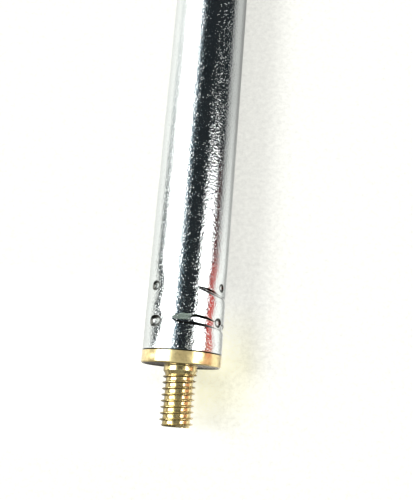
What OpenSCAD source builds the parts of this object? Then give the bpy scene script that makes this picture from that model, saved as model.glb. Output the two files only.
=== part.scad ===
// Telescopic car mast aerial. A turned brass plug with a threaded stud closes the foot of a plated
// base tube, whose wall is pinched into two grooves of the plug. Thinner tubes and a rod with a tip
// slide out of the base tube, each held by a pair of spring shells in the gap round its foot.
// Millimetres. The mast stands upright along Z, with the origin in the middle of the plug's seat.

/* [Stud] */
// Diameter of the threaded stud, over its crests
stud_d = 4; // [3:0.5:5]
// Length of the stud below the seat
stud_len = 7; // [5:0.5:10]
// Chamfer on the end of the stud
stud_chamfer = 0.4; // [0.2:0.1:0.6]

/* [Base plug] */
// Thickness of the flange between the stud and the base tube
flange_t = 1.5; // [1:0.1:3]
// Edge broken off the flange on the seat side
flange_edge = 0.25; // [0.1:0.05:0.3]
// Length of the spigot inside the base tube
spigot_len = 10; // [10:0.5:14]
// Chamfer on the inner end of the spigot
spigot_chamfer = 0.5; // [0.2:0.1:0.8]

/* [Tubes] */
// Outer diameter of the base tube
base_d = 9.5; // [9:0.1:11]
// Length of the base tube
base_len = 140; // [80:5:250]
// Wall of every tube
wall = 0.25; // [0.2:0.01:0.28]
// Diameter lost from each section to the next, as a share of the base tube's
step_share = 0.116; // [0.112:0.001:0.124]
// Number of thinner tubes between the base tube and the rod
inner_tubes = 5; // [1:1:6]
// Height of each section that shows above the one round it, when closed
peek = 2; // [1:0.5:6]
// Outer radius of the rolled-in top edge of each tube
roll_r = 0.45; // [0.35:0.01:0.46]

/* [Crimps] */
// Height of the lower row of crimps above the tube's foot
lower_row = 3.6; // [2:0.1:4]
// Height of the upper row of crimps above the tube's foot
upper_row = 7.5; // [7:0.1:8]
// Angles of the dents of the lower row, seen from above, from the front of the mast
lower_dents = [-44, 60, 187]; // [-180:1:360]
// Angles of the dents of the upper row
upper_dents = [-53, 65, 185]; // [-180:1:360]
// Length round the tube and height of a dent of the lower row
lower_dent = [2.4, 1.7]; // [1:0.1:3]
// Length round the tube and height of a dent of the upper row
upper_dent = [1.7, 1.4]; // [1:0.1:2]
// Depth of a dent
dent_depth = 0.4; // [0.3:0.05:0.5]
// Angles of the middles of the creases of the lower row
lower_creases = [30, 150]; // [-180:1:360]
// Angle that a crease of the lower row takes up
lower_crease_arc = 112; // [80:1:120]
// Depth of a crease of the lower row
lower_crease_depth = 0.16; // [0.1:0.01:0.3]
// Distance of the creases of the lower row below its dents
lower_crease_drop = 0.15; // [0:0.05:0.3]
// Slope of the creases of the lower row, down to the right, in degrees
lower_crease_slope = 2; // [0:0.5:3]
// Angles of the middles of the creases of the upper row
upper_creases = [50, 165]; // [-180:1:360]
// Angle that a crease of the upper row takes up
upper_crease_arc = 78; // [40:1:90]
// Depth of a crease of the upper row
upper_crease_depth = 0.1; // [0.05:0.01:0.2]
// Distance of the creases of the upper row below its dents
upper_crease_drop = 0.5; // [0:0.05:0.6]
// Slope of the creases of the upper row
upper_crease_slope = 4; // [0:0.5:5]
// Radius of the jaw that presses the creases of the lower row
lower_jaw_r = 0.8; // [0.5:0.05:1]
// Radius of the jaw that presses the creases of the upper row
upper_jaw_r = 0.35; // [0.3:0.05:0.6]

/* [Spring shells] */
// Height of the spring shells on the foot of each section
shell_len = 6; // [4:0.5:10]
// Thickness of the shells' strip
shell_t = 0.12; // [0.08:0.01:0.15]
// Angle that each shell of a pair takes up
shell_arc = 160; // [140:1:170]
// Angle that each raised rib of a shell takes up
rib_arc = 14; // [8:1:20]
// Angle between the ribs of a shell
rib_pitch = 55; // [30:1:58]
// Length of the sloping ends of a rib
rib_lead = 0.8; // [0.4:0.1:1.5]
// Flat strip left beyond each end of a rib
rib_end = 0.3; // [0.1:0.1:0.4]
// Diameter of the nub that locks each shell to its tube
nub_d = 1; // [0.8:0.1:1.2]
// Height of the shells' lower edge above the tube's foot
shell_lift = 0.3; // [0.1:0.1:1]

/* [Tip] */
// Diameter of the tip
tip_d = 6; // [5:0.1:9]
// Height of the tip
tip_len = 7; // [6:0.5:12]
// Depth of the hole in the tip that holds the rod
tip_socket = 5; // [3:0.5:5]
// Height of the domed end of the tip
tip_dome = 1.6; // [1:0.1:2]
// Width of the finger groove round the tip
tip_groove_w = 1.6; // [0.8:0.1:2]
// Rounding of the lower edge of the tip
tip_edge = 0.4; // [0.2:0.1:0.6]
// Depth of the finger groove round the tip
tip_groove_depth = 0.5; // [0.2:0.1:0.6]

/* [Clearances] */
// Gap between surfaces that slide on each other
slide_gap = 0.05; // [0.04:0.01:0.07]
// Gap between surfaces that are fixed to each other
fixed_gap = 0.02; // [0.01:0.01:0.04]
// Gap under the closed sections, above the plug and below the tip
rest_gap = 0.2; // [0.1:0.05:0.4]
// Gap between the flange and the end of the base tube
seam_gap = 0.08; // [0.02:0.01:0.1]
// Gap round each nub in its hole
nub_gap = 0.1; // [0.05:0.01:0.15]
// Room beside the crimps in the grooves of the spigot
groove_gap = 0.1; // [0.05:0.01:0.1]

/* [Hidden] */
$fn = 96;
small_fn = 32;                  // facets of the small round features
over = 1;                       // how far a cutter runs past what it cuts
step_d = base_d * step_share;
rod = inner_tubes + 2;          // the number of the last section, the rod
tube_foot = flange_t + seam_gap;
plug_top = flange_t + spigot_len;
foot = plug_top + rest_gap;     // foot of every sliding section when closed
base_r = base_d / 2;
spigot_r = base_r - wall - fixed_gap;
nub_z = foot + shell_lift + shell_len / 2;
rib_angles = [-rib_pitch, 0, rib_pitch];
sides = ["a", "b"];
tip_z = tube_foot + base_len + inner_tubes * peek + rest_gap;

function section_d(k) = base_d - (k - 1) * step_d;
function section_r(k) = section_d(k) / 2;
function bore_r(k) = section_r(k) - wall;
function top_of(k) = tube_foot + base_len + (k - 1) * peek;
function tube_name(k) = str("tube_", k);
function shell_name(k, side) = str("spring_shell_", k, sides[side]);

// Radius of a circle that cuts a hollow of this width and depth, or rises as a dome of them
function arc_radius(width, depth) = (width * width / 4 + depth * depth) / (2 * depth);

// The section of a solid bar from z0 to z1 whose top edge is rounded, right of the axis
module round_topped(r, z0, z1, round_r) {
    translate([0, z0]) square([r, z1 - z0 - round_r]);
    translate([0, z0]) square([r - round_r, z1 - z0]);
    translate([r - round_r, z1 - round_r]) circle(round_r);
}

// The hollow of tube k, up to the underside of its rolled edge
module hollow_section(k, z0) {
    round_topped(bore_r(k), z0 - over, top_of(k) - wall, roll_r - wall);
}

// The hole through the rolled edge of tube k, in which section k + 1 slides
module mouth(k) {
    translate([0, 0, top_of(k) - roll_r - over])
        cylinder(r = section_r(k + 1) + slide_gap, h = roll_r + 2 * over);
}

// Turns a point on +X to an angle seen from the front of the mast
module at_angle(a) {
    rotate([0, 0, a - 90]) children();
}

// A barrel on a standing axis that presses one dent, size[0] round the tube and size[1] high.
// grow adds the wall, for the inner face of the tube
module dent_barrel(a, z, size, grow) {
    side_r = arc_radius(size[1], dent_depth);
    tube_sag = base_r - sqrt(base_r * base_r - size[0] * size[0] / 4);
    belly_r = arc_radius(size[0], dent_depth - tube_sag);
    at_angle(a) translate([base_r - dent_depth + belly_r, 0, z]) rotate_extrude() intersection() {
        translate([belly_r - side_r, 0]) circle(side_r + grow);
        translate([0, -base_r]) square(2 * base_r);
    }
}

// A bent bar set off centre, which bites a lens-shaped crease that fades out at both ends
module crease_jaw(a, z, slope, arc, depth, jaw_r, grow) {
    offset_by = depth / (1 - cos(arc / 2));
    bend_r = base_r + jaw_r + offset_by * cos(arc / 2);
    at_angle(a) translate([-offset_by, 0, z]) rotate([-slope, 0, 0]) rotate([0, 0, -arc / 2])
        rotate_extrude(angle = arc) translate([bend_r, 0]) circle(jaw_r + grow, $fn = small_fn);
}

module lower_crimps(grow) {
    z = tube_foot + lower_row;
    for (a = lower_dents) dent_barrel(a, z, lower_dent, grow);
    for (a = lower_creases) crease_jaw(
        a, z - lower_crease_drop, lower_crease_slope,
        lower_crease_arc, lower_crease_depth, lower_jaw_r, grow);
}

module upper_crimps(grow) {
    z = tube_foot + upper_row;
    for (a = upper_dents) dent_barrel(a, z, upper_dent, grow);
    for (a = upper_creases) crease_jaw(
        a, z - upper_crease_drop, upper_crease_slope,
        upper_crease_arc, upper_crease_depth, upper_jaw_r, grow);
}

// Both rows of crimps taken out of a solid
module crimped(grow) {
    difference() {
        children();
        lower_crimps(grow);
        upper_crimps(grow);
    }
}

// The outline of a groove in the spigot, from its lower to its upper edge
function groove_points(row, dent_h) = let (z = tube_foot + row, half = dent_h / 2 + wall + groove_gap) [
    [spigot_r, z - half],
    [spigot_r - dent_depth, z - half + dent_depth],
    [spigot_r - dent_depth, z + half - dent_depth],
    [spigot_r, z + half]
];

module base_plug() {
    stud_r = stud_d / 2;
    color("goldenrod") rotate_extrude() polygon(concat(
        [
            [0, -stud_len],
            [stud_r - stud_chamfer, -stud_len],
            [stud_r, -stud_len + stud_chamfer],
            [stud_r, 0],
            [base_r - flange_edge, 0],
            [base_r, flange_edge],
            [base_r, flange_t],
            [spigot_r, flange_t]
        ],
        groove_points(lower_row, lower_dent[1]),
        groove_points(upper_row, upper_dent[1]),
        [
            [spigot_r, plug_top - spigot_chamfer],
            [spigot_r - spigot_chamfer, plug_top],
            [0, plug_top]
        ]
    ));
}

module base_tube() {
    color("silver") difference() {
        crimped(0) rotate_extrude() round_topped(base_r, tube_foot, top_of(1), roll_r);
        crimped(wall) rotate_extrude() hollow_section(1, tube_foot);
        mouth(1);
    }
}

// The two holes near the foot of section k that take the nubs of its shells
module nub_holes(k, depth) {
    for (side = [0, 1]) rotate([0, 0, 180 * side])
        translate([section_r(k) - depth, 0, nub_z]) rotate([0, 90, 0])
            cylinder(d = nub_d + 2 * nub_gap, h = depth + over, $fn = small_fn);
}

module sliding_tube(k) {
    color("silver") difference() {
        rotate_extrude() difference() {
            round_topped(section_r(k), foot, top_of(k), roll_r);
            hollow_section(k, foot);
        }
        mouth(k);
        nub_holes(k, 2 * wall);
    }
}

module tip_rod() {
    end_z = tip_z + tip_socket - fixed_gap;
    color("silver") difference() {
        translate([0, 0, foot]) cylinder(r = section_r(rod), h = end_z - foot);
        nub_holes(rod, wall);
    }
}

// A round-topped knob with a finger groove, bored for the rod
module tip_cap() {
    tip_r = tip_d / 2;
    dome_r = arc_radius(tip_d, tip_dome);
    groove_r = arc_radius(tip_groove_w, tip_groove_depth);
    groove_z = tip_z + tip_len - tip_dome - tip_groove_w;
    color("silver") rotate_extrude() difference() {
        translate([0, tip_z]) union() {
            square([tip_r - tip_edge, tip_edge]);
            translate([tip_r - tip_edge, tip_edge]) circle(tip_edge, $fn = small_fn);
            translate([0, tip_edge]) square([tip_r, tip_len - tip_dome - tip_edge]);
            translate([0, tip_len - tip_dome]) intersection() {
                square([tip_r, tip_dome]);
                translate([0, tip_dome - dome_r]) circle(dome_r);
            }
        }
        translate([tip_r + groove_r - tip_groove_depth, groove_z]) circle(groove_r, $fn = small_fn);
        translate([0, tip_z - over]) square([section_r(rod) + fixed_gap, tip_socket + over]);
        translate([-tip_d, tip_z - over]) square([tip_d, tip_len + 2 * over]);
    }
}

// One of the pair of spring shells clipped round the foot of section k
module spring_shell(k, side) {
    inner_r = section_r(k) + fixed_gap;
    mid_r = inner_r + shell_t / 2;
    outer_r = bore_r(k - 1) - slide_gap;
    z0 = foot + shell_lift;
    z1 = z0 + shell_len;
    color("darkgoldenrod") rotate([0, 0, 180 * side]) {
        rotate([0, 0, -shell_arc / 2]) rotate_extrude(angle = shell_arc)
            translate([inner_r, z0]) square([shell_t, shell_len]);
        for (a = rib_angles) rotate([0, 0, a - rib_arc / 2]) rotate_extrude(angle = rib_arc) polygon([
            [mid_r, z0 + rib_end],
            [outer_r, z0 + rib_end + rib_lead],
            [outer_r, z1 - rib_end - rib_lead],
            [mid_r, z1 - rib_end]
        ]);
        intersection() {
            translate([section_r(k) - wall + fixed_gap, 0, nub_z]) rotate([0, 90, 0])
                cylinder(d = nub_d, h = wall + shell_t, $fn = small_fn);
            translate([0, 0, z0]) cylinder(r = mid_r, h = shell_len);
        }
    }
}

base_plug();
base_tube();
for (k = [2 : rod - 1]) sliding_tube(k);
tip_rod();
tip_cap();
for (k = [2 : rod], side = [0, 1]) spring_shell(k, side);
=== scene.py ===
# Car mast aerial: a chromed telescopic mast with a turned brass foot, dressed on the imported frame.
import math

import bpy
import numpy as np
from mathutils import Matrix, Vector


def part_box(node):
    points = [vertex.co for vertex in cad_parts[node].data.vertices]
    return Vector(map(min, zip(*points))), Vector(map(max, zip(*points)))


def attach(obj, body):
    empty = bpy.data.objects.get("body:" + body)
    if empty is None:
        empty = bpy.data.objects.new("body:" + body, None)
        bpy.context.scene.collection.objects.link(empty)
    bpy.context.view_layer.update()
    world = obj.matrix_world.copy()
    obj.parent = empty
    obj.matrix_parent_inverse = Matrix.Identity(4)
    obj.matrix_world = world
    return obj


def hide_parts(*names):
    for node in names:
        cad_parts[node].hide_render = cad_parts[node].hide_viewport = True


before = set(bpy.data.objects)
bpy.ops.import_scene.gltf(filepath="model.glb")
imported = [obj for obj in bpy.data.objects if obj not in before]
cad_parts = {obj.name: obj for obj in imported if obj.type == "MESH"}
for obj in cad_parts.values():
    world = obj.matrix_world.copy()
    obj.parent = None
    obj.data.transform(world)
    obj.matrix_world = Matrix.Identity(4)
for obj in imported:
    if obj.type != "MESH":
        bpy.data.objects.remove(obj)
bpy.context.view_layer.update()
mm = 0.001
print("frame loaded:", len(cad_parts), "nodes")


# close to the foot and a little below it, looking up along the mast, in degrees and millimetres
camera = {"lens": 46.566, "distance": 80.129, "pitch": -13.754, "roll": 4.546, "aimX": 1.937, "aimZ": 14.380,
          "nearest": 5, "farthest": 20000}


def placeCamera(settings):
    pitch, roll = math.radians(settings["pitch"]), math.radians(settings["roll"])
    back = Vector((0, -math.cos(pitch), math.sin(pitch)))
    right = Vector((1, 0, 0))
    up = back.cross(right)
    across = math.cos(roll) * right + math.sin(roll) * up
    upward = across.cross(-back)
    aim = Vector((settings["aimX"], 0, settings["aimZ"])) * mm
    lens = bpy.data.cameras.new("closeLens")
    lens.lens = settings["lens"]
    lens.clip_start = settings["nearest"] * mm
    lens.clip_end = settings["farthest"] * mm
    holder = bpy.data.objects.new("closeCamera", lens)
    bpy.context.scene.collection.objects.link(holder)
    turn = Matrix((across, upward, back)).transposed().to_4x4()
    holder.matrix_world = Matrix.Translation(aim + back * settings["distance"] * mm) @ turn
    bpy.context.scene.camera = holder


placeCamera(camera)
bpy.context.scene.view_settings.view_transform = "Standard"


def newFinish(name):
    finish = bpy.data.materials.new(name)
    finish.use_nodes = True
    tree = finish.node_tree
    return finish, tree, tree.nodes["Principled BSDF"]


def bareFinish(name):
    # a finish with no node but its output
    finish, tree = newFinish(name)[:2]
    tree.nodes.clear()
    return finish, tree, addNode(tree, "ShaderNodeOutputMaterial").inputs["Surface"]


def addNode(tree, kind, **settings):
    node = tree.nodes.new(kind)
    for key, value in settings.items():
        if hasattr(node, key):
            setattr(node, key, value)
        else:
            node.inputs[key].default_value = value
    return node


def mapped(tree, socket, start, end, first, last, kind="LINEAR"):
    # goes from first to last while the socket's value goes from start to end, and stays there beyond
    node = addNode(tree, "ShaderNodeMapRange", interpolation_type=kind)
    for name, value in zip(("From Min", "From Max", "To Min", "To Max"), (start, end, first, last)):
        node.inputs[name].default_value = value
    tree.links.new(socket, node.inputs["Value"])
    return node.outputs["Result"]


def spanned(tree, socket, start, end, first, last, kind="LINEAR"):
    # as mapped, with start and end in millimetres
    return mapped(tree, socket, start * mm, end * mm, first, last, kind)


def between(tree, socket, start, end, first, last):
    # as spanned, where first and last are sockets too
    node = addNode(tree, "ShaderNodeMapRange")
    node.inputs["From Min"].default_value = start * mm
    node.inputs["From Max"].default_value = end * mm
    for source, name in ((socket, "Value"), (first, "To Min"), (last, "To Max")):
        tree.links.new(source, node.inputs[name])
    return node.outputs["Result"]


def joined(tree, operation, *sockets):
    # two or more values, joined one after another
    result = sockets[0]
    for socket in sockets[1:]:
        node = addNode(tree, "ShaderNodeMath", operation=operation)
        tree.links.new(result, node.inputs[0])
        tree.links.new(socket, node.inputs[1])
        result = node.outputs["Value"]
    return result


def magnitude(tree, socket):
    node = addNode(tree, "ShaderNodeMath", operation="ABSOLUTE")
    tree.links.new(socket, node.inputs[0])
    return node.outputs["Value"]


def parted(tree, vector):
    # the vector's X, Y and Z
    node = addNode(tree, "ShaderNodeSeparateXYZ")
    tree.links.new(vector, node.inputs["Vector"])
    return node.outputs


def levelled(tree, vector):
    # the vector without its Z
    node = addNode(tree, "ShaderNodeVectorMath", operation="MULTIPLY")
    node.inputs[1].default_value = (1, 1, 0)
    tree.links.new(vector, node.inputs[0])
    return node.outputs["Vector"]


def speckled(tree, vector, size, detail, roughness):
    # noise, with spots of about that size in millimetres
    node = addNode(tree, "ShaderNodeTexNoise", Scale=1 / (size * mm), Detail=detail, Roughness=roughness)
    tree.links.new(vector, node.inputs["Vector"])
    return node.outputs["Fac"]


def tinted(tree, share, first, last):
    # goes with the share from first, a colour or another's socket, to the colour last
    node = addNode(tree, "ShaderNodeMix", data_type="RGBA")
    node.inputs["B"].default_value = last
    if isinstance(first, tuple):
        node.inputs["A"].default_value = first
    else:
        tree.links.new(first, node.inputs["A"])
    tree.links.new(share, node.inputs["Factor"])
    return node.outputs["Result"]


def shaded(tree, colour, share):
    # the colour times the share
    node = addNode(tree, "ShaderNodeVectorMath", operation="SCALE")
    node.inputs[0].default_value = colour[:3]
    tree.links.new(share, node.inputs["Scale"])
    return node.outputs["Vector"]


def together(tree, first, second):
    node = addNode(tree, "ShaderNodeAddShader")
    tree.links.new(first, node.inputs[0])
    tree.links.new(second, node.inputs[1])
    return node.outputs["Shader"]


def chosen(tree, share, first, second):
    # the first shader where the share is 0, the second where it is 1
    node = addNode(tree, "ShaderNodeMixShader")
    tree.links.new(share, node.inputs["Fac"])
    tree.links.new(first, node.inputs[1])
    tree.links.new(second, node.inputs[2])
    return node.outputs["Shader"]


# sizes and heights in millimetres, but "pitWide" as a share of "pits"; "hazed" is the part of the noise over
# which the roughness rises; the painted shade in the dents comes in over a tilt of the wall, in degrees, and
# ends over a span of heights
chromeLook = {"colour": (0.60, 0.625, 0.62, 1), "roughness": (0.05, 0.24), "haze": 0.20,
              "hazed": (0.38, 0.66), "pits": 0.24, "pitWide": 0.34, "pitDeep": 0.014, "grain": 0.23,
              "grainLift": 0.031,
              "paintedShade": (0.04, 0.04, 0.036, 1), "paintedShadeSlope": (13, 25), "paintedShadeUpTo": (12, 11)}


def chromeFinish(look):
    # bright plating over a finely pitted tube: pits and grain break up the borders of what it mirrors
    finish, tree, shader = newFinish("chromePlate")
    shader.inputs["Metallic"].default_value = 1
    place = addNode(tree, "ShaderNodeTexCoord").outputs
    # painted shade: the plating is painted dark where the crimps press the wall in steeply
    outward = addNode(tree, "ShaderNodeVectorMath", operation="NORMALIZE")
    slope = addNode(tree, "ShaderNodeVectorMath", operation="DOT_PRODUCT")
    tree.links.new(levelled(tree, place["Object"]), outward.inputs[0])
    tree.links.new(outward.outputs["Vector"], slope.inputs[0])
    tree.links.new(place["Normal"], slope.inputs[1])
    gentle, steep = (math.cos(math.radians(tilt)) for tilt in look["paintedShadeSlope"])
    steepness = mapped(tree, slope.outputs["Value"], gentle, steep, 0, 1)
    low = spanned(tree, parted(tree, place["Object"])["Z"], *look["paintedShadeUpTo"], 0, 1)
    tone = tinted(tree, joined(tree, "MULTIPLY", steepness, low), look["colour"], look["paintedShade"])
    tree.links.new(tone, shader.inputs["Base Color"])
    haze = speckled(tree, place["Object"], look["haze"], 1.0, 0.5)
    tree.links.new(mapped(tree, haze, *look["hazed"], *look["roughness"]), shader.inputs["Roughness"])
    pits = addNode(tree, "ShaderNodeTexVoronoi", Scale=1 / (look["pits"] * mm))
    tree.links.new(place["Object"], pits.inputs["Vector"])
    pitted = mapped(tree, pits.outputs["Distance"], 0, look["pitWide"], 0, 1, "SMOOTHSTEP")
    grain = speckled(tree, place["Object"], look["grain"], 1.0, 0.5)
    coarse = addNode(tree, "ShaderNodeBump", Strength=1.0, Distance=look["pitDeep"] * mm)
    fine = addNode(tree, "ShaderNodeBump", Strength=1.0, Distance=look["grainLift"] * mm)
    tree.links.new(pitted, coarse.inputs["Height"])
    tree.links.new(grain, fine.inputs["Height"])
    tree.links.new(coarse.outputs["Normal"], fine.inputs["Normal"])
    tree.links.new(fine.outputs["Normal"], shader.inputs["Normal"])
    return finish


# sizes and heights in millimetres; the stud turns into the flange over "flange", and the first of "metal",
# "roughness" and "dirtShare" is the stud's; the two spans of the normal's Z from sloping to facing down say
# where the painted shade underneath comes in and where the second of "lineLift" holds; "dirtNoise" is the
# part of the noise that brings dirt, whose colour also paints shade into the seam
brassLook = {"bright": (0.92, 0.76, 0.36, 1), "dull": (0.60, 0.46, 0.20, 1), "grimeAndShade": (0.05, 0.04, 0.02, 1),
             "under": (0.13, 0.09, 0.035, 1), "underFacing": (-0.6, -0.9), "ior": 1.9, "flange": (0, 0.05),
             "metal": (0.77, 0.55), "roughness": (0.13, 0.18), "seam": (1.45, 1.47), "stain": 0.5,
             "dirt": 0.42, "dirtNoise": (0.50, 0.72), "dirtShare": (0.65, 0.325),
             "line": 0.06, "lineLift": (0.004, 0.03), "ringFacing": (-0.9, -0.97)}


def brassFinish(look):
    # freshly turned brass: tool lines round the axis, faint staining, specks of dirt, painted shade where it
    # faces down, and grime with painted shade in the seam above the flange
    finish, tree, shader = newFinish("turnedBrass")
    shader.inputs["IOR"].default_value = look["ior"]
    place = addNode(tree, "ShaderNodeTexCoord").outputs
    height = parted(tree, place["Object"])["Z"]
    facing = parted(tree, place["Normal"])["Z"]
    metal = spanned(tree, height, *look["flange"], *look["metal"])
    rough = spanned(tree, height, *look["flange"], *look["roughness"])
    # painted shade on the faces that look down
    under = mapped(tree, facing, *look["underFacing"], 0, 1)
    # grime and painted shade in the seam between the tube and the flange
    seam = spanned(tree, height, *look["seam"], 0, 1)
    stain = speckled(tree, place["Object"], look["stain"], 4.0, 0.6)
    dirt = speckled(tree, place["Object"], look["dirt"], 3.0, 0.6)
    dirty = joined(tree, "MULTIPLY", mapped(tree, dirt, *look["dirtNoise"], 0, 1),
                   spanned(tree, height, *look["flange"], *look["dirtShare"]))
    tone = look["bright"]
    for share, colour in ((stain, "dull"), (under, "under"), (dirty, "grimeAndShade"), (seam, "grimeAndShade")):
        tone = tinted(tree, share, tone, look[colour])
    tree.links.new(tone, shader.inputs["Base Color"])
    tree.links.new(metal, shader.inputs["Metallic"])
    tree.links.new(rough, shader.inputs["Roughness"])
    # the lines run with distance from the axis and height, so they are rings on the flat faces
    reach = addNode(tree, "ShaderNodeVectorMath", operation="LENGTH")
    profile = addNode(tree, "ShaderNodeCombineXYZ")
    tree.links.new(levelled(tree, place["Object"]), reach.inputs[0])
    tree.links.new(reach.outputs["Value"], profile.inputs["X"])
    tree.links.new(height, profile.inputs["Z"])
    lines = speckled(tree, profile.outputs["Vector"], look["line"], 2.0, 0.6)
    depth = mapped(tree, facing, *look["ringFacing"], *(deep * mm for deep in look["lineLift"]))
    lift = addNode(tree, "ShaderNodeBump", Strength=1.0)
    tree.links.new(depth, lift.inputs["Distance"])
    tree.links.new(lines, lift.inputs["Height"])
    tree.links.new(lift.outputs["Normal"], shader.inputs["Normal"])
    return finish


bronzeLook = {"bright": (0.72, 0.47, 0.25, 1), "dull": (0.50, 0.30, 0.15, 1), "roughness": 0.3, "mottle": 0.6}


def bronzeFinish(look):
    # rolled spring strip, dulled where it has been handled
    finish, tree, shader = newFinish("springBronze")
    shader.inputs["Metallic"].default_value = 1
    shader.inputs["Roughness"].default_value = look["roughness"]
    place = addNode(tree, "ShaderNodeTexCoord").outputs
    mottle = speckled(tree, place["Object"], look["mottle"], 5.0, 0.6)
    tree.links.new(tinted(tree, mottle, look["bright"], look["dull"]), shader.inputs["Base Color"])
    return finish


chromePlate = chromeFinish(chromeLook)
turnedBrass = brassFinish(brassLook)
springBronze = bronzeFinish(bronzeLook)
print("finishes ready")


weldGap = 0.0002  # points of a turned piece this close, in millimetres, become one


def startPoint(name, place):
    # one vertex in edit mode, to draw a section from
    bpy.ops.object.select_all(action="DESELECT")
    bpy.ops.mesh.primitive_plane_add(size=mm, location=(0, 0, 0))
    piece = bpy.context.object
    piece.name = name
    bpy.ops.object.mode_set(mode="EDIT")
    bpy.ops.mesh.merge(type="CENTER")
    bpy.ops.transform.translate(value=place)
    return piece


def turnOutline(name, outline, steps):
    # draws half a section point by point from one vertex, then spins it round the mast's axis
    piece = startPoint(name, (outline[0][0] * mm, 0, outline[0][1] * mm))
    for (r0, z0), (r1, z1) in zip(outline, outline[1:]):
        bpy.ops.mesh.extrude_region_move(
            TRANSFORM_OT_translate={"value": ((r1 - r0) * mm, 0, (z1 - z0) * mm)})
    bpy.ops.mesh.select_all(action="SELECT")
    bpy.ops.mesh.spin(steps=steps, angle=math.tau, center=(0, 0, 0), axis=(0, 0, 1))
    bpy.ops.mesh.select_all(action="SELECT")
    bpy.ops.mesh.remove_doubles(threshold=weldGap * mm)
    bpy.ops.mesh.normals_make_consistent(inside=False)
    bpy.ops.object.mode_set(mode="OBJECT")
    return piece


def arcPoints(r, z, radius, start, end, count):
    # points of a rounded edge round (r, z), by angles in degrees
    turns = [math.radians(start + (end - start) * i / count) for i in range(count + 1)]
    return [(r + radius * math.cos(t), z + radius * math.sin(t)) for t in turns]


def evenRun(r, z0, z1, step):
    # points up or down a straight wall, no further apart than the step
    count = max(1, math.ceil(abs(z1 - z0) / step))
    return [(r, z0 + (z1 - z0) * i / count) for i in range(count + 1)]


def readBack(piece):
    # vertices as radius, angle from the front and height, in millimetres and radians
    place = np.empty(len(piece.data.vertices) * 3)
    piece.data.vertices.foreach_get("co", place)
    place = place.reshape(-1, 3) / mm
    return np.hypot(place[:, 0], place[:, 1]), np.arctan2(place[:, 0], -place[:, 1]), place[:, 2]


def writeBack(piece, radius, angle, height):
    place = np.stack([radius * np.sin(angle), -radius * np.cos(angle), height], axis=1) * mm
    piece.data.vertices.foreach_set("co", place.ravel())
    piece.data.update()


def finishPiece(piece, finish, smoothBelow, body, node):
    bpy.ops.object.select_all(action="DESELECT")
    piece.select_set(True)
    bpy.context.view_layer.objects.active = piece
    bpy.ops.object.shade_smooth_by_angle(angle=math.radians(smoothBelow))
    piece.data.materials.clear()
    piece.data.materials.append(finish)
    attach(piece, body)
    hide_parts(node)


def sectionRadius(node):
    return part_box(node)[1].x / mm


def sectionTop(node):
    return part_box(node)[1].z / mm


def sectionFoot(node):
    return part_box(node)[0].z / mm


# in millimetres; "meshRuns" gives the step of the mesh up to each height above the foot, fine at the crimps
baseTube = {"wall": 0.25, "roll": 0.45, "rollSteps": (8, 5), "slide": 0.05, "footEdge": 0.05, "steps": 480,
            "crimpedUpTo": 10.5, "crimpFade": 1.0, "innerStep": 0.25, "smooth": 40,
            "meshRuns": ((2.3, 0.12), (4.4, 0.07), (6.2, 0.15), (8.4, 0.05), (10.5, 0.2))}
# height above the foot, angle from the front in degrees, then length round the tube, height and depth in
# millimetres, where each is deepest, as a share of its half size to the right and up, and how far it draws in
# the wall round it
dents = [
    {"row": 3.18, "at": -47, "long": 2.25, "high": 1.55, "deep": 0.47, "deepest": (-0.1, 0.1), "draw": 0.21},
    {"row": 3.52, "at": 60, "long": 1.8, "high": 1.3, "deep": 0.40, "deepest": (0.1, 0.1), "draw": 0.16},
    {"row": 3.5, "at": 187, "long": 2.2, "high": 1.5, "deep": 0.38, "deepest": (0, 0.1), "draw": 0.16},
    {"row": 7.38, "at": -53, "long": 1.75, "high": 1.35, "deep": 0.44, "deepest": (0, 0), "draw": 0.19},
    {"row": 7.75, "at": 63, "long": 1.4, "high": 1.2, "deep": 0.36, "deepest": (0.1, 0), "draw": 0.16},
    {"row": 7.5, "at": 185, "long": 1.6, "high": 1.3, "deep": 0.36, "deepest": (0, 0), "draw": 0.16},
]
# from and to round the tube in degrees, and the height of the whole crease, of its upper and of its lower
# flank, at its left and at its right end, changing between the "turnsAt" angles; the ends fade over "fade"
# degrees, and the crease sinks by "sink" between the "sinks" angles; a pointed one narrows evenly to its
# ends, and the flanks of a valley are straight and meet in a line
creases = [
    {"row": 3.59, "sink": 0.60, "sinks": (-10, 100), "round": (-27, 104), "fade": (22, 14), "deep": 0.19,
     "high": (1.34, 1.34), "upper": (0.96, 0.42), "lower": (0.30, 0.42), "turnsAt": (4, 18), "pointed": True},
    {"row": 3.55, "sink": 0.25, "sinks": (110, 190), "round": (100, 200), "fade": (18, 14), "deep": 0.16,
     "high": (1.0, 1.1), "upper": (0.40, 0.30), "lower": (0.30, 0.30), "turnsAt": (130, 150)},
    {"row": 7.26, "sink": 0.60, "sinks": (8, 66), "round": (7, 104), "fade": (20, 14), "deep": 0.18,
     "high": (0.42, 0.92), "upper": (0.21, 0.46), "lower": (0.21, 0.46), "turnsAt": (16, 56),
     "valley": True},
    {"row": 7.2, "sink": 0.4, "sinks": (120, 200), "round": (125, 205), "fade": (20, 14), "deep": 0.10,
     "high": (0.42, 0.56), "upper": (0.21, 0.28), "lower": (0.21, 0.28), "turnsAt": (150, 170)},
]
# "bowl" is the share of a dent's depth that goes as in a round bowl, followed out to "bowlReach", and the
# rest stays flat to its rim; the lips are the depths over which rims are rounded, "drawWide" is how far round
# a dent the wall is drawn in, and "narrowest" keeps the ends of a crease from being nothing wide
press = {"bowl": 0.7, "bowlReach": 1.5, "lip": 0.02, "creaseLip": 0.01, "drawWide": 1.25, "narrowest": 0.001}


def smoothShare(share):
    share = np.clip(share, 0, 1)
    return share * share * (3 - 2 * share)


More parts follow.
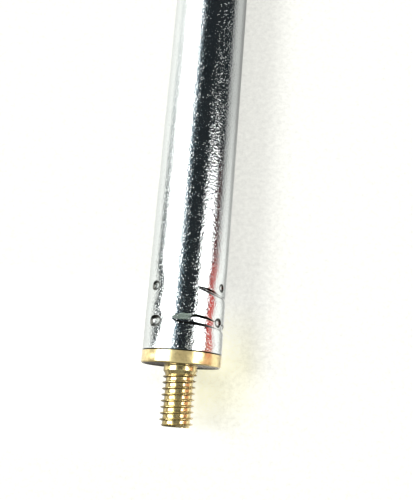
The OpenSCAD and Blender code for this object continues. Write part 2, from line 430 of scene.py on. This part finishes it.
def creaseDepth(crease, degrees, up):
    # how deep a crease is at each angle and height above its middle line
    left, right = crease["round"]
    leftFade, rightFade = crease["fade"]
    turnsFrom, turnsTo = crease["turnsAt"]
    faded = np.clip((degrees - left) / leftFade, 0, 1) * np.clip((right - degrees) / rightFade, 0, 1)
    turned = smoothShare((degrees - turnsFrom) / (turnsTo - turnsFrom))
    high, upper, lower = (ends[0] + (ends[1] - ends[0]) * turned
                          for ends in (crease["high"], crease["upper"], crease["lower"]))
    pointed = crease.get("pointed", False)
    size = np.maximum(faded, press["narrowest"]) ** (1 if pointed else 0.5)
    above, below = (high / 2 - up / size) / upper, (high / 2 + up / size) / lower
    if crease.get("valley"):
        profile = np.clip(np.minimum(above, below), 0, 1)
    else:
        profile = smoothShare(above) * smoothShare(below)
    return crease["deep"] * (faded if pointed else smoothShare(faded)) * profile


def softLess(a, b, width):
    # the lesser of two radii, rounded over where they meet
    blend = np.clip(0.5 + 0.5 * (b - a) / width, 0, 1)
    return b + (a - b) * blend - width * blend * (1 - blend)


def turnFrom(angle, degrees):
    # how far each angle lies from a direction, the short way round
    return np.angle(np.exp(1j * (angle - math.radians(degrees))))


def crimpDepth(angle, height, base, foot):
    # how far the crimps press the wall in at each angle and height
    draw = np.zeros_like(angle)
    for dent in dents:
        off = turnFrom(angle, dent["at"]) * base
        up = height - foot - dent["row"]
        reach = np.exp(-(off ** 2 + up ** 2) / (2 * press["drawWide"] ** 2))
        draw = np.maximum(draw, dent["draw"] * reach)
    skin = base - draw
    for dent in dents:
        right, upward = dent["deepest"]
        across = turnFrom(angle, dent["at"]) * base / (dent["long"] / 2) - right
        up = (height - foot - dent["row"]) / (dent["high"] / 2) - upward
        across /= np.where(across < 0, 1 + right, 1 - right)
        up /= np.where(up < 0, 1 + upward, 1 - upward)
        away = across ** 2 + up ** 2
        hollow = base - dent["deep"] * (1 - press["bowl"] * away - (1 - press["bowl"]) * away ** 4)
        skin = np.where(away < press["bowlReach"], softLess(hollow, skin, press["lip"]), skin)
    for crease in creases:
        middle = sum(crease["round"]) / 2
        degrees = middle + np.degrees(turnFrom(angle, middle))
        along = (degrees - crease["sinks"][0]) / (crease["sinks"][1] - crease["sinks"][0])
        up = height - foot - crease["row"] + crease["sink"] * smoothShare(along)
        skin = softLess(base - creaseDepth(crease, degrees, up), skin, press["creaseLip"])
    return base - skin


def tubeTopPoints(radius, top, mouth, look):
    # the rolled-in edge: over the outside, into the mouth, back along the inside
    roll, wall = look["roll"], look["wall"]
    centreR, centreZ = radius - roll, top - roll
    outer = arcPoints(centreR, centreZ, roll, 0, 90, look["rollSteps"][0])
    inner = arcPoints(centreR, centreZ, roll - wall, 90, 0, look["rollSteps"][1])
    return outer + [(mouth, top), (mouth, top - wall)] + inner


def makeBaseTube(look):
    radius, top, foot = sectionRadius("base_tube"), sectionTop("base_tube"), sectionFoot("base_tube")
    mouth = sectionRadius("tube_2") + look["slide"]
    bore, edge = radius - look["wall"], look["footEdge"]
    high = foot + look["crimpedUpTo"]
    outline = [(bore, foot)] + arcPoints(radius - edge, foot + edge, edge, -90, 0, 4)[:-1]
    low = foot + edge
    for level, step in look["meshRuns"]:
        outline += evenRun(radius, low, foot + level, step)[:-1]
        low = foot + level
    outline += [(radius, high)]
    outline += tubeTopPoints(radius, top, mouth, look)
    outline += evenRun(bore, high, foot, look["innerStep"])
    piece = turnOutline("baseTubeShell", outline, look["steps"])
    r, angle, height = readBack(piece)
    fading = np.clip((high - height) / look["crimpFade"], 0, 1)
    writeBack(piece, r - crimpDepth(angle, height, radius, foot) * fading, angle, height)
    finishPiece(piece, chromePlate, look["smooth"], "base", "base_tube")


makeBaseTube(baseTube)
print("base tube turned and crimped")


# in millimetres; "root" rounds the stud into the flange, "endRing" is a ring of points inside the chamfer
plug = {"studRadius": 2.0, "studLong": 7.0, "chamfer": 0.4, "chamferSteps": 14, "endRing": 0.06, "root": 0.08,
        "flange": 1.5, "edge": 0.22, "topEdge": 0.04, "spigotGap": 0.27, "spigotTop": 11.5, "spigotEdge": 0.5,
        "waist": 0.85, "waistTop": 10.2, "waistTaper": 0.6, "steps": 192, "rowStep": 0.025, "smooth": 50}
thread = {"pitch": 0.7, "depth": 0.37, "crestFlat": 0.03, "rootFlat": 0.165, "rootRound": 0.12,
          "crestAtFront": -2.58, "shank": 0.55, "runOut": 0.8}


def threadDepth(angle, height):
    # a right-hand thread that runs out under the flange
    turn = (height - thread["crestAtFront"]) / thread["pitch"] - angle / math.tau
    offCrest = np.abs(turn - np.round(turn)) * thread["pitch"]
    room = thread["pitch"] / 2 - thread["crestFlat"] - thread["rootFlat"]
    slope = np.clip((offCrest - thread["crestFlat"]) / room, 0, 1)
    rounded = slope + thread["rootRound"] * np.sin(math.pi * np.clip(slope * 2 - 1, 0, 1))
    start = np.clip((-height - thread["shank"]) / thread["runOut"], 0, 1)
    return thread["depth"] * np.minimum(rounded, 1) * start


def makePlug(look):
    radius = sectionRadius("base_plug")
    stud, end, chamfer, root = look["studRadius"], -look["studLong"], look["chamfer"], look["root"]
    flange, edge, topEdge, steps = look["flange"], look["edge"], look["topEdge"], look["chamferSteps"]
    waist, waistTop = radius - look["waist"], look["waistTop"]
    spigot, spigotTop, spigotEdge = radius - look["spigotGap"], look["spigotTop"], look["spigotEdge"]
    outline = [(0, end), (stud - chamfer - look["endRing"], end)]
    outline += [(stud - chamfer + chamfer * i / steps, end + chamfer * i / steps) for i in range(steps)]
    outline += evenRun(stud, end + chamfer, -root, look["rowStep"])
    outline += arcPoints(stud + root, -root, root, 180, 90, 4)[1:]
    outline += arcPoints(radius - edge, edge, edge, -90, 0, 5)
    outline += arcPoints(radius - topEdge, flange - topEdge, topEdge, 0, 90, 4)
    outline += [(waist, flange), (waist, waistTop - look["waistTaper"]), (spigot, waistTop)]
    outline += [(spigot, spigotTop - spigotEdge), (spigot - spigotEdge, spigotTop), (0, spigotTop)]
    piece = turnOutline("turnedFoot", outline, look["steps"])
    r, angle, height = readBack(piece)
    onStud = (height < -root) & (r > stud - chamfer - look["endRing"] / 2)
    cut = np.minimum(r, stud - threadDepth(angle, height))
    writeBack(piece, np.where(onStud, cut, r), angle, height)
    finishPiece(piece, turnedBrass, look["smooth"], "base", "base_plug")


makePlug(plug)
print("brass foot turned and threaded")


slider = {"wall": 0.25, "roll": 0.45, "rollSteps": (8, 5), "slide": 0.05, "footEdge": 0.05, "steps": 160,
          "smooth": 40}


def makeSlider(number, inner, look):
    node = f"tube_{number}"
    radius, top, foot = sectionRadius(node), sectionTop(node), sectionFoot(node)
    bore, mouth, edge = radius - look["wall"], sectionRadius(inner) + look["slide"], look["footEdge"]
    outline = [(bore, foot), (radius - edge, foot), (radius, foot + edge)]
    outline += tubeTopPoints(radius, top, mouth, look)
    outline += [(bore, foot)]
    piece = turnOutline(f"sliderShell{number}", outline, look["steps"])
    finishPiece(piece, chromePlate, look["smooth"], f"section_{number}", node)


for number in range(2, 7):
    makeSlider(number, f"tube_{number + 1}" if number < 6 else "tip_rod", slider)

rod = {"edge": 0.08, "steps": 128, "smooth": 40}


def makeRod(look):
    radius, top, foot = sectionRadius("tip_rod"), sectionTop("tip_rod"), sectionFoot("tip_rod")
    outline = [(0, foot), (radius - look["edge"], foot), (radius, foot + look["edge"])]
    outline += [(radius, top - look["edge"]), (radius - look["edge"], top), (0, top)]
    piece = turnOutline("tipRodBar", outline, look["steps"])
    finishPiece(piece, chromePlate, look["smooth"], "rod", "tip_rod")


tip = {"edge": 0.4, "dome": 1.6, "grooveWide": 1.6, "grooveDeep": 0.5, "socket": 5.0, "socketEdge": 0.1,
       "gap": 0.02, "steps": 192, "smooth": 40}


def hollowRadius(width, depth):
    # of the circle that is so deep over that width
    return (width * width / 4 + depth * depth) / (2 * depth)


def makeTip(look):
    radius, top, foot = sectionRadius("tip_cap"), sectionTop("tip_cap"), sectionFoot("tip_cap")
    hole, holeEdge = sectionRadius("tip_rod") + look["gap"], look["socketEdge"]
    dome, edge = hollowRadius(2 * radius, look["dome"]), look["edge"]
    groove = hollowRadius(look["grooveWide"], look["grooveDeep"])
    grooveR = radius + groove - look["grooveDeep"]
    waist = top - look["dome"] - look["grooveWide"]
    spread = math.degrees(math.asin(look["grooveWide"] / 2 / groove))
    rise = math.degrees(math.asin(radius / dome))
    outline = [(hole, foot + holeEdge), (hole + holeEdge, foot)]
    outline += arcPoints(radius - edge, foot + edge, edge, -90, 0, 8)
    outline += arcPoints(grooveR, waist, groove, 180 + spread, 180 - spread, 14)
    outline += arcPoints(0, top - dome, dome, 90 - rise, 90, 24)
    outline += [(0, foot + look["socket"]), (hole, foot + look["socket"]), (hole, foot + holeEdge)]
    piece = turnOutline("tipKnob", outline, look["steps"])
    finishPiece(piece, chromePlate, look["smooth"], "rod", "tip_cap")


makeRod(rod)
makeTip(tip)
for name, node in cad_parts.items():
    if name.startswith("spring_shell"):
        node.data.materials.clear()
        node.data.materials.append(springBronze)
print("sliding sections, rod and tip turned")


# what the metal mirrors: from and to in degrees round the mast from the front, then up from level, the width
# of each soft border (left, right, bottom, top), and how far from the axis the card stands, in metres; a
# leaning card's side borders shift round by "lean" degrees for each millimetre up
cards = [
    {"name": "leftWindow", "round": (-78, -29), "up": (-20, 62), "soft": (3, 8, 8, 10), "away": 1.30,
     "colour": (1, 1, 1), "strength": 7},
    {"name": "windowEdge", "round": (-36, -16), "up": (-12, 62), "soft": (6, 8, 4, 6), "away": 1.31,
     "colour": (0.30, 0.42, 0.50), "strength": 1},
    {"name": "darkRoom", "round": (-36, 89), "up": (-14, 82), "soft": (6, 4, 4, 6), "away": 1.32,
     "colour": (0.016, 0.021, 0.025), "strength": 1},
    {"name": "darkRight", "round": (26, 89), "up": (-80, -8), "soft": (8, 4, 6, 4), "away": 1.33,
     "colour": (0.03, 0.036, 0.04), "strength": 1},
    {"name": "darkLeft", "round": (-89, -34), "up": (-70, -14), "soft": (2, 8, 6, 6), "away": 1.33,
     "colour": (0.05, 0.06, 0.06), "strength": 1},
    {"name": "greyTable", "round": (-46, 34), "up": (-75, -8), "soft": (8, 6, 6, 4), "away": 1.34,
     "colour": (0.43, 0.52, 0.45), "strength": 1},
    {"name": "lowWindow", "round": (31, 66), "up": (-20, 18.8), "soft": (7, 5, 6, 5), "away": 1.20,
     "colour": (1, 1, 1), "strength": 7},
    {"name": "redSide", "round": (66, 101), "up": (-11.4, 10), "soft": (5, 20, 0.4, 8), "away": 0.05,
     "colour": (1.0, 0.13, 0.11), "strength": 1, "lean": -0.1},
    {"name": "redShade", "round": (65, 90), "up": (-4, 32), "soft": (5, 19, 2, 10), "away": 0.0505,
     "colour": (0.13, 0.05, 0.045), "strength": 1, "lean": -0.1},
    {"name": "leftGap", "round": (-105, -76), "up": (-22, 56), "soft": (16, 4, 3, 80), "away": 0.030,
     "colour": (0.03, 0.04, 0.045), "strength": 1, "lean": -0.25},
    {"name": "leftLine", "round": (-105, -76), "up": (-22, 75), "soft": (16, 5, 3, 2), "away": 0.032,
     "colour": (0.95, 1.0, 0.98), "strength": 1, "lean": -0.25},
    {"name": "edgeGlow", "round": (-94, -70), "up": (-24.75, -21.3), "soft": (3, 3, 0.4, 0.3), "away": 0.0295,
     "colour": (1, 1, 1), "strength": 6},
    {"name": "redFlange", "round": (63, 90), "up": (-14.4, -11.5), "soft": (5, 4, 0.3, 0.3), "away": 0.0495,
     "colour": (1.8, 1.3, 0.95), "strength": 1},
    {"name": "midFlange", "round": (14, 31), "up": (-14.4, -11.5), "soft": (3, 3, 0.3, 0.3), "away": 0.0495,
     "colour": (2.4, 2.4, 2.2), "strength": 1},
    {"name": "redStud", "round": (45, 95), "up": (-25.9, -14.4), "soft": (6, 3, 1, 0.3), "away": 0.0495,
     "colour": (0.90, 0.38, 0.27), "strength": 1},
    {"name": "darkStud", "round": (-99, -75), "up": (-38.5, -24.9), "soft": (3, 3, 1, 0.4), "away": 0.0295,
     "colour": (0.16, 0.15, 0.10), "strength": 1},
]
cardSteps = 24
cardLevel = 0.015  # where on the axis the angles up are taken from, in metres
leanRoom = 25  # degrees that the sheet of a leaning card reaches beyond its borders


def cardHeight(card, up):
    return cardLevel + card["away"] * math.tan(math.radians(up))


def cardFinish(card):
    # glows within its soft borders and is clear beyond them
    finish, tree, surface = bareFinish(card["name"] + "Glow")
    place = parted(tree, addNode(tree, "ShaderNodeTexCoord").outputs["Object"])
    lean = math.radians(card.get("lean", 0)) / mm
    front = addNode(tree, "ShaderNodeMath", operation="MULTIPLY")
    front.inputs[1].default_value = -1
    turn = addNode(tree, "ShaderNodeMath", operation="ARCTAN2")
    around = addNode(tree, "ShaderNodeMath", operation="MULTIPLY_ADD")
    around.inputs[1].default_value = -lean
    tree.links.new(place["Y"], front.inputs[0])
    tree.links.new(place["X"], turn.inputs[0])
    tree.links.new(front.outputs["Value"], turn.inputs[1])
    tree.links.new(place["Z"], around.inputs[0])
    tree.links.new(turn.outputs["Value"], around.inputs[2])
    left, right = (math.radians(side) - lean * cardLevel for side in card["round"])
    low, high = (cardHeight(card, up) for up in card["up"])
    softLeft, softRight, softLow, softHigh = card["soft"]
    fullLow = cardHeight(card, card["up"][0] + softLow)
    fullHigh = cardHeight(card, card["up"][1] - softHigh)
    ends = [(around.outputs["Value"], left, left + math.radians(softLeft)),
            (around.outputs["Value"], right, right - math.radians(softRight)),
            (place["Z"], low, fullLow), (place["Z"], high, fullHigh)]
    shares = [mapped(tree, socket, start, full, 0, 1, "SMOOTHSTEP") for socket, start, full in ends]
    clear = addNode(tree, "ShaderNodeBsdfTransparent").outputs["BSDF"]
    glow = addNode(tree, "ShaderNodeEmission", Color=(*card["colour"], 1), Strength=card["strength"])
    whole = chosen(tree, joined(tree, "MULTIPLY", *shares), clear, glow.outputs["Emission"])
    tree.links.new(whole, surface)
    return finish


def makeCard(card):
    # a bowed sheet across its span of directions, seen by the metal only
    spare = leanRoom if "lean" in card else 0
    left, right = math.radians(card["round"][0] - spare), math.radians(card["round"][1] + spare)
    low, high = (cardHeight(card, up) for up in card["up"])
    corner = (card["away"] * math.sin(right), -card["away"] * math.cos(right), low)
    sheet = startPoint(card["name"], corner)
    bpy.ops.mesh.extrude_region_move(TRANSFORM_OT_translate={"value": (0, 0, high - low)})
    bpy.ops.mesh.select_all(action="SELECT")
    bpy.ops.mesh.spin(steps=cardSteps, angle=right - left, center=(0, 0, 0), axis=(0, 0, 1))
    bpy.ops.object.mode_set(mode="OBJECT")
    sheet.data.materials.append(cardFinish(card))
    sheet.visible_camera = False
    sheet.visible_diffuse = False
    sheet.visible_shadow = False
    sheet.visible_transmission = False


for card in cards:
    makeCard(card)

darkEnd = {"level": -1.25, "size": 1.7, "sides": 48, "colour": (0.045, 0.045, 0.04, 1)}


def makeDarkEnd(look):
    # the unlit room beyond the stud, its sizes in metres
    bpy.ops.object.select_all(action="DESELECT")
    bpy.ops.mesh.primitive_circle_add(radius=look["size"], vertices=look["sides"], fill_type="NGON",
                                      location=(0, 0, look["level"]))
    sheet = bpy.context.object
    sheet.name = "darkEnd"
    finish, tree, surface = bareFinish("darkEndGlow")
    glow = addNode(tree, "ShaderNodeEmission", Color=look["colour"], Strength=1)
    tree.links.new(glow.outputs["Emission"], surface)
    sheet.data.materials.append(finish)
    sheet.visible_camera = False
    sheet.visible_shadow = False


makeDarkEnd(darkEnd)

# size in metres, gap behind the tube and mottle in millimetres; "mottled" is how much lighter and darker the
# mottle goes over the part of the noise in "mottleNoise", and "glow" is how much light of its own it has
floorLook = {"size": 3.0, "gap": 0.02, "seen": (0.43, 0.43, 0.405), "mottle": 0.6, "mottled": 0.22,
             "mottleNoise": (0.3, 0.7), "glow": 0.46, "plain": (1.0, 1.0, 0.94, 1),
             "paintedWarmLight": (1.05, 1.02, 0.70, 1), "mirrored": (0.86, 0.86, 0.83, 1)}
# each patch of the sheet is made of spans: across it, along it or aside from the mast on both hands, from and
# to in millimetres, and the values there; all are painted light and shade: the first three are seen, light
# thrown beside the foot, lifted below it and warmed as light off the brass, and the others only mirrored
floorPatches = {
    "thrownLight": (("across", 5.2, 8.5, 0.2, 0), ("along", -1.5, 0.5, 0, 1), ("along", 3, 12, 1, 0)),
    "liftedLight": (("across", 3.2, 7.2, 0.17, 0), ("along", 0, -2.5, 0, 1), ("along", -12, -8, 0, 1)),
    "paintedWarmLight": (("across", 0, 2.5, 0, 1), ("across", 8, 11, 1, 0),
             ("along", -9, -3, 0, 1), ("along", 1, 9, 1, 0)),
    "left": (("across", -5, -15, 0.78, 1.18), ("along", -1.5, 1, 0.45, 1), ("along", -16, -7, 0.12, 1)),
    "beside": (("along", 4, 42, 1.32, 0.95),),
    "shadow": (("along", 13, 44, 0.53, 0.76),),
    "farRight": (("across", 10.5, 14, 0.53, 1),),
    "wide": (("across", 40, 120, 1, 0.5), ("along", -25, -8, 0.2, 1)),
    "seat": (("along", -0.7, -1.1, 0.14, 1), ("along", 0.05, 0.15, 0.14, 1), ("aside", 4.6, 5, 0.14, 1)),
    "glowBeneath": (("aside", 4.2, 4.7, 0.8, 0), ("along", 1.6, 2.4, 0, 1)),
}
# where across the sheet, in millimetres, the left side turns into the right and the right side into the
# painted shadow, and the painted shade of the right side as a span along the sheet
floorSides = {"rightFrom": (-3, 4), "shadowFrom": (5.8, 8.3), "upRight": (2, 50, 1.35, 0.66)}


def patch(tree, ways, name, operation="MULTIPLY"):
    spans = [spanned(tree, ways[way], *span) for way, *span in floorPatches[name]]
    return joined(tree, operation, *spans)


def paperFinish(look, sides):
    finish, tree, surface = bareFinish("palePaper")
    place = addNode(tree, "ShaderNodeTexCoord").outputs["Object"]
    split = parted(tree, place)
    ways = {"across": split["X"], "along": split["Y"], "aside": magnitude(tree, split["X"])}
    # as seen: mottled paper that glows a little, with painted light beside the foot on the right, painted
    # warm there
    mottle = speckled(tree, place, look["mottle"], 5.0, 0.75)
    mottled = mapped(tree, mottle, *look["mottleNoise"], 1 - look["mottled"], 1 + look["mottled"])
    paper = addNode(tree, "ShaderNodeBsdfDiffuse")
    tree.links.new(shaded(tree, look["seen"], mottled), paper.inputs["Color"])
    more = joined(tree, "ADD", patch(tree, ways, "thrownLight"), patch(tree, ways, "liftedLight"))
    level = addNode(tree, "ShaderNodeMath", operation="ADD")
    level.inputs[1].default_value = look["glow"]
    tree.links.new(more, level.inputs[0])
    glow = addNode(tree, "ShaderNodeEmission")
    tree.links.new(level.outputs["Value"], glow.inputs["Strength"])
    tree.links.new(tinted(tree, patch(tree, ways, "paintedWarmLight"), look["plain"], look["paintedWarmLight"]), glow.inputs["Color"])
    seen = together(tree, paper.outputs["BSDF"], glow.outputs["Emission"])
    # as mirrored: painted shade round the stud, up the right-hand side and within the shadow, and painted
    # light close beside the mast on the right
    near = between(tree, ways["across"], *sides["shadowFrom"], patch(tree, ways, "beside"),
                   patch(tree, ways, "shadow"))
    right = joined(tree, "MULTIPLY", spanned(tree, ways["along"], *sides["upRight"], "SMOOTHSTEP"),
                   joined(tree, "MAXIMUM", near, patch(tree, ways, "farRight")))
    tone = between(tree, ways["across"], *sides["rightFrom"], patch(tree, ways, "left"), right)
    # painted shade far out, below the stud, and in the strip close behind the flange's underside
    tone = joined(tree, "MULTIPLY", tone, patch(tree, ways, "wide"), patch(tree, ways, "seat", "MAXIMUM"))
    lit = addNode(tree, "ShaderNodeBsdfDiffuse")
    tree.links.new(shaded(tree, look["mirrored"], tone), lit.inputs["Color"])
    # painted light: the strip under the tube glows, or the tube's back would mirror black
    glowBeneath = addNode(tree, "ShaderNodeEmission", Color=look["mirrored"])
    tree.links.new(patch(tree, ways, "glowBeneath"), glowBeneath.inputs["Strength"])
    mirrored = together(tree, lit.outputs["BSDF"], glowBeneath.outputs["Emission"])
    front = chosen(tree, addNode(tree, "ShaderNodeLightPath").outputs["Is Camera Ray"], mirrored, seen)
    clear = addNode(tree, "ShaderNodeBsdfTransparent").outputs["BSDF"]
    backfacing = addNode(tree, "ShaderNodeNewGeometry").outputs["Backfacing"]
    tree.links.new(chosen(tree, backfacing, front, clear), surface)
    return finish


def makeFloor(look, sides):
    # the pale sheet the mast lies on, behind it in this frame, clear from its back
    bpy.ops.object.select_all(action="DESELECT")
    bpy.ops.mesh.primitive_plane_add(size=look["size"], location=(0, 0, 0))
    sheet = bpy.context.object
    sheet.name = "paleSheet"
    sheet.rotation_euler = (math.pi / 2, 0, 0)
    sheet.location = (0, (sectionRadius("base_tube") + look["gap"]) * mm, 0)
    sheet.data.materials.append(paperFinish(look, sides))


makeFloor(floorLook, floorSides)

# angles in degrees: round the mast from the front, up from level, and how wide the lamp looks; "fill" is the
# level of the light from all round
light = {"round": -41, "up": 2, "spread": 20, "strength": 2.0, "fill": 1.12}


def makeLight(look):
    around, up = math.radians(look["round"]), math.radians(look["up"])
    toward = Vector((math.sin(around) * math.cos(up), -math.cos(around) * math.cos(up), math.sin(up)))
    lamp = bpy.data.lights.new("sideLamp", "SUN")
    lamp.energy = look["strength"]
    lamp.angle = math.radians(look["spread"])
    holder = bpy.data.objects.new("sideLamp", lamp)
    holder.rotation_euler = toward.to_track_quat("Z", "Y").to_euler()
    holder.visible_glossy = False
    bpy.context.scene.collection.objects.link(holder)
    world = bpy.data.worlds.new("paleRoom")
    bpy.context.scene.world = world
    world.use_nodes = True
    tree = world.node_tree
    tree.nodes.clear()
    # plain white where it is seen, mirrored or looked through, and the fill light elsewhere
    rays = addNode(tree, "ShaderNodeLightPath").outputs
    shown = joined(tree, "MAXIMUM", rays["Is Camera Ray"], rays["Is Glossy Ray"], rays["Is Transmission Ray"])
    sky = addNode(tree, "ShaderNodeBackground", Color=(1, 1, 1, 1))
    out = addNode(tree, "ShaderNodeOutputWorld")
    tree.links.new(mapped(tree, shown, 0, 1, look["fill"], 1), sky.inputs["Strength"])
    tree.links.new(sky.outputs["Background"], out.inputs["Surface"])


makeLight(light)
print("studio ready")
